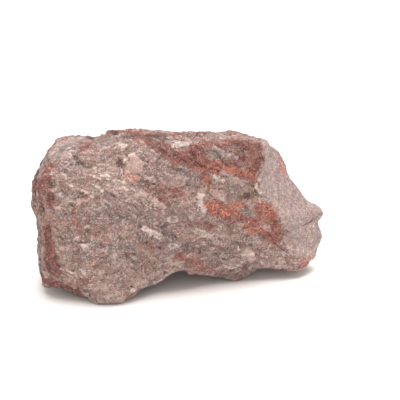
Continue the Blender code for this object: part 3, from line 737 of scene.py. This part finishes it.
# Where a point is, in millimetres: in plain measure, along the grain, and pushed about so that
# grains have ragged edges. COARSE, FINE and TINY are the sizes of grains of the rock.
COARSE, FINE, TINY, FIBRE = 2.3, 0.95, 0.33, 0.62
FIBRE_STRETCH = 2.5
ELSEWHERE = (31, 17, 53)  # so far off that noise there is unlike the noise here
spot = Wire(shader.outputs[0]).node("ShaderNodeTexCoord", {}, {}, "Object")
here = vector("SCALE", spot, 1 / MM)
along = here.node(
    "ShaderNodeMapping",
    {"vector_type": "POINT"},
    {"Vector": here, "Rotation": (0, GRAIN_DIP, 0), "Scale": (1 / GRAIN_STRETCH, 1, 1)},
)
elsewhere = vector("ADD", here, ELSEWHERE)
flow = ragged(along, 7.0, 5.0)
fibre_place = flow.node(
    "ShaderNodeMapping",
    {"vector_type": "POINT"},
    {"Vector": flow, "Scale": (1 / FIBRE_STRETCH, 1, 1)},
)
coarse_place, fine_place = ragged(flow, 0.9, 0.6), ragged(flow, 0.5, 0.25)
coarse, fine = crystals(coarse_place, COARSE), crystals(fine_place, FINE)
tiny = crystals(here, TINY)
coarse_light, fine_light, tiny_light = (split(cell, "Red") for cell in (coarse, fine, tiny))
fine_hue, tiny_hue = split(fine, "Green"), split(tiny, "Green")
blotch = cloud(along, 5.0, 4.0)
patch = cloud(elsewhere, 1.8, 3.0)
grain = cloud(fibre_place, FIBRE, 3.0)
smooth_here, clear_here = layer_of("smooth_face"), layer_of("clear")
rough_here = 1 - smooth_here
proud_here = layer_of("proud")

# The rock itself: greyish pink feldspar, in blotches and grains, with greyer and browner zones,
# a red flush here and there, and lilac grey on the smooth joint faces.
FELDSPAR, WARM_FELDSPAR = tint(152, 131, 126), tint(168, 139, 129)
LIGHT_GRAIN, DARK_GRAIN, GRAIN_SHARE = tint(194, 167, 158), tint(132, 108, 101), 0.45
COOL_ZONE, WARM_ZONE, ZONE_SIZE = (0.95, 0.99, 1.01, 1), (1.05, 1.01, 0.99, 1), 16.0
FLUSH, FLUSH_SHARE = tint(160, 106, 94), 0.42
LILAC, LIGHT_LILAC, LILAC_SHARE = tint(170, 151, 147), tint(186, 165, 160), 0.85
CLEAN_GREY = tint(146, 130, 125)
FRESH_FELDSPAR, FRESH_SHARE = tint(204, 180, 170), 0.6
colour = blotch.step(0.38, 0.6).blend(FELDSPAR, WARM_FELDSPAR)
colour = (coarse_light.step(0.66, 0.9) * GRAIN_SHARE).blend(colour, LIGHT_GRAIN)
colour = (coarse_light.step(0.34, 0.1) * GRAIN_SHARE).blend(colour, DARK_GRAIN)
zone = cloud(elsewhere, ZONE_SIZE, 2.0).step(0.35, 0.65)
colour = vector("MULTIPLY", colour, zone.blend(COOL_ZONE, WARM_ZONE))
flush = cloud(elsewhere, 2.8, 4.0).step(0.5, 0.68) * FLUSH_SHARE
colour = (flush * rough_here).blend(colour, FLUSH)
lilac = patch.step(0.3, 0.7).blend(LILAC, LIGHT_LILAC)
colour = (smooth_here * LILAC_SHARE).blend(colour, lilac)
colour = (layer_of("grey") * patch.step(0.25, 0.6)).blend(colour, CLEAN_GREY)
fresh_here = layer_of("fresh") + (patch - 0.5) * 0.8 + (fine_light - 0.5) * 0.4
colour = (fresh_here.step(0.2, 0.8) * FRESH_SHARE).blend(colour, FRESH_FELDSPAR)

# Pale crystals, from white to pink and orange.
WHITE_CRYSTAL, PINK_CRYSTAL = tint(232, 212, 203), tint(199, 168, 156)
ORANGE_CRYSTAL, PALE_SHARE = tint(210, 150, 130), 0.85
pale_tone_here = layer_of("pale_tone")
pale_colour = pale_tone_here.step(0.1, 0.6).blend(WHITE_CRYSTAL, PINK_CRYSTAL)
pale_colour = pale_tone_here.step(0.75, 1.0).blend(pale_colour, ORANGE_CRYSTAL)
pale_here = layer_of("pale_and_highlights") + (fine_light - 0.5) * 0.35 + (grain - 0.5) * 0.45
colour = (pale_here.step(0.3, 0.75) * PALE_SHARE).blend(colour, pale_colour)

# Rust: brick red in most places, maroon where it is thick, and orange where it is thin.
MAROON, BRICK, ORANGE = tint(122, 75, 70), tint(160, 97, 85), tint(216, 135, 109)
RUST_SHARE = 0.9
rust_here = layer_of("rust") + (patch - 0.5) * 1.1 + (grain - 0.5) * 0.7
rust_here = rust_here + (fine_hue - 0.5) * 0.3 + (tiny_hue - 0.5) * 0.15
stained = rust_here.step(0.2, 0.8)
tone = layer_of("rust_tone") + (cloud(along, 2.0, 3.0) - 0.5) * 3.0
tone = tone + (grain - 0.5) * 1.6 + (tiny_light - 0.5) * 1.1
rust_colour = tone.step(-1.0, 0.1).blend(MAROON, BRICK)
rust_colour = tone.step(0.2, 1.4).blend(rust_colour, ORANGE)
colour = (stained * RUST_SHARE).blend(colour, rust_colour)

# Each grain is lighter or darker, and redder or greyer, than the next. It is less so where a
# larger crystal is clear and even, under rust, and on the smooth faces. Crests get a painted
# highlight and hollows a painted shade.
GREYER, REDDER = (0.92, 1.045, 1.055, 1), (1.09, 0.945, 0.925, 1)
RUST_SPECK, SPECK_SHARE = tint(178, 98, 80), 0.5
calm = cloud(elsewhere, 4.0, 2.0).step(0.48, 0.62) * rough_here
lively = (1 - calm * 0.5) * (1 - clear_here * 0.5)
lively = lively * (1 - stained * 0.2) * (1 - smooth_here * 0.2)
unlike = (grain - 0.5) * 0.5 + (fine_light - 0.5) * 0.24 + (tiny_light - 0.5) * 0.9
shade = 1.04 + unlike * lively
shade = shade + (patch - 0.5) * 0.3
# painted highlight on crests and painted shade in hollows, from how proud each point stands
shade = shade + proud_here.step(0.03, 0.25) * 0.25 - proud_here.step(-0.03, -0.25) * 0.35
colour = vector("SCALE", colour, shade)
redness = (tiny_hue * 0.6 + fine_hue * 0.4).blend(GREYER, REDDER)
colour = vector("MULTIPLY", colour, redness)
colour = (tiny_hue.step(0.88, 0.93) * lively * SPECK_SHARE).blend(colour, RUST_SPECK)

# Dark minerals and painted shade, then painted highlights where grains catch the light: thin
# crystal edges, flecks and glitter.
DARK_MINERAL_AND_SHADE, BLACK_SHARE = tint(92, 73, 70), 0.75
HIGHLIGHT_TINT, FLECK_SHARE, GLITTER_SHARE, EDGE_SHARE = tint(236, 214, 205), 0.5, 0.55, 0.85
# dark minerals, and painted shade in hollows, grooves and cracks
dark_and_shade_here = layer_of("dark_and_shade") + (grain - 0.5) * 0.8 + (tiny_light - 0.5) * 0.4
colour = (dark_and_shade_here.step(0.35, 0.9) * BLACK_SHARE).blend(colour, DARK_MINERAL_AND_SHADE)
contour = cloud(ragged(along, 1.1, 0.8), 3.4, 1.0)
small_contour = cloud(ragged(elsewhere, 0.7, 0.6), 1.9, 1.0)
lit_edge_lines = contour.step(0.492, 0.5) * contour.step(0.516, 0.508)
small_lit_lines = small_contour.step(0.488, 0.5) * small_contour.step(0.53, 0.515)
lit_edge_lines = (lit_edge_lines + small_lit_lines) * cloud(elsewhere, 2.4, 1.0).step(0.42, 0.52)
painted_fleck = fine_light.step(0.8, 0.92) * cloud(elsewhere, 1.3, 2.0).step(0.45, 0.6)
painted_glitter = tiny_light.step(0.9, 0.96)
# painted highlights: lit crystal edges, flecks and glitter turn the colour toward a bright tint
painted_highlight = painted_fleck * FLECK_SHARE + painted_glitter * GLITTER_SHARE + lit_edge_lines * EDGE_SHARE
painted_highlight = painted_highlight * (1 - stained * 0.65) * (1 - smooth_here * 0.5)
colour = painted_highlight.blend(colour, HIGHLIGHT_TINT)
stone.node_tree.links.new(colour.socket, shader.inputs["Base Color"])

# Dull, but for the cleavage faces of some grains where no rust covers them.
DULL, GLOSS_OF_GLINTS = 0.88, 0.42
glint = fine_light.step(0.8, 0.9) * (1 - stained)
roughness = DULL - glint * GLOSS_OF_GLINTS + (grain - 0.5) * 0.1
stone.node_tree.links.new(roughness.socket, shader.inputs["Roughness"])

# Below the net of points: flat broken faces in two sizes, low steps, and a fine grit.
faces = cleavage(coarse_place, coarse, 0.5) + cleavage(fine_place, fine, 0.5)
steps = contour.step(0.49, 0.51) * 0.35 + small_contour.step(0.49, 0.52) * 0.2
height = faces * lively + steps
height = height * (1 - smooth_here * 0.8) * (1 - clear_here * 0.5)
height = height + ((grain + cloud(here, 0.5, 2.0)) * 0.12 + tiny_light * 0.06) * lively
bumped = height.node(
    "ShaderNodeBump", {}, {"Height": height, "Distance": 1.0 * MM, "Strength": 1.0}, "Normal"
)
stone.node_tree.links.new(bumped.socket, shader.inputs["Normal"])

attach(rock, "root")
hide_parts("rough_rock")

# ---- the floor ----------------------------------------------------------------------------------
# A plain square sheet of matt board under the rock. It is off white, with a breath of warmth,
# and lies level with the points that the rock rests on.
FLOOR_HALF = 0.8  # half the board's side, in metres
BOARD_WHITE = (0.9, 0.885, 0.87, 1)
board = bpy.data.meshes.new("floor")
corners = [(-FLOOR_HALF, -FLOOR_HALF, 0), (FLOOR_HALF, -FLOOR_HALF, 0)]
corners += [(FLOOR_HALF, FLOOR_HALF, 0), (-FLOOR_HALF, FLOOR_HALF, 0)]
board.from_pydata(corners, [], [(0, 1, 2, 3)])
floor = bpy.data.objects.new("floor", board)
bpy.context.scene.collection.objects.link(floor)
white_board = bpy.data.materials.new("white_board")
white_board.use_nodes = True
board_shader = white_board.node_tree.nodes["Principled BSDF"]
board_shader.inputs["Base Color"].default_value = BOARD_WHITE
board_shader.inputs["Roughness"].default_value = 0.9
board_shader.inputs["Specular IOR Level"].default_value = 0.1
board.materials.append(white_board)

# ---- the backdrop -------------------------------------------------------------------------------
# A white tent all round, far behind the board. It is only seen: it lights nothing and shades
# nothing, because the lamps and the room do that.
TENT_RADIUS = 3.0  # in metres
tent_form = bmesh.new()
bmesh.ops.create_icosphere(tent_form, subdivisions=4, radius=TENT_RADIUS)
tent_cloth = bpy.data.meshes.new("backdrop")
tent_form.to_mesh(tent_cloth)
tent_form.free()
backdrop = bpy.data.objects.new("backdrop", tent_cloth)
bpy.context.scene.collection.objects.link(backdrop)
white_tent = bpy.data.materials.new("white_tent")
white_tent.use_nodes = True
tent_shader = white_tent.node_tree.nodes["Principled BSDF"]
tent_shader.inputs["Base Color"].default_value = (0, 0, 0, 1)
tent_shader.inputs["Specular IOR Level"].default_value = 0
tent_shader.inputs["Emission Color"].default_value = (1, 1, 1, 1)
tent_shader.inputs["Emission Strength"].default_value = 1.0
tent_cloth.materials.append(white_tent)
backdrop.visible_diffuse = backdrop.visible_glossy = backdrop.visible_shadow = False

# ---- the light ----------------------------------------------------------------------------------
# A strong soft box nearly straight overhead, a low wide one in front, a weak one at the right
# that reaches a little round the back, and a warm white room that fills the shadows.
ROOM_TINT, ROOM_STRENGTH = (1, 0.91, 0.87, 1), 0.55
room = bpy.data.worlds.new("white_room")
room.use_nodes = True
room.node_tree.nodes["Background"].inputs["Color"].default_value = ROOM_TINT
room.node_tree.nodes["Background"].inputs["Strength"].default_value = ROOM_STRENGTH
bpy.context.scene.world = room


def soft_box(name, place, aim, width, power):
    """A square lamp: its place, aim and width are in metres, and its power in watts."""
    lamp = bpy.data.lights.new(name, "AREA")
    lamp.shape = "SQUARE"
    lamp.size = width
    lamp.energy = power
    box = bpy.data.objects.new(name, lamp)
    box.location = place
    box.rotation_euler = (Vector(aim) - Vector(place)).to_track_quat("-Z", "Y").to_euler()
    bpy.context.scene.collection.objects.link(box)


soft_box("overhead_box", (0.04, 0.06, 1.0), (0, 0, 0), 0.95, 17)
soft_box("side_box", (1.1, 0.5, 0.35), (0, 0, 0.01), 0.8, 3)
soft_box("front_box", (0.0, -1.3, 0.4), (0, 0, 0.02), 1.2, 6.5)

# ---- the camera ---------------------------------------------------------------------------------
# A long lens on a tripod, square on to the rock's length and a little above it. This is the
# front view in which places on the rock were read.
lens = bpy.data.cameras.new("camera")
lens.lens = CAMERA_LENS
lens.sensor_width = FILM_WIDTH
camera = bpy.data.objects.new("camera", lens)
camera.location = camera_place * MM
camera.rotation_euler = (math.pi / 2 - CAMERA_HEIGHT, 0, 0)
bpy.context.scene.collection.objects.link(camera)
bpy.context.scene.camera = camera
bpy.context.scene.view_settings.view_transform = "Standard"
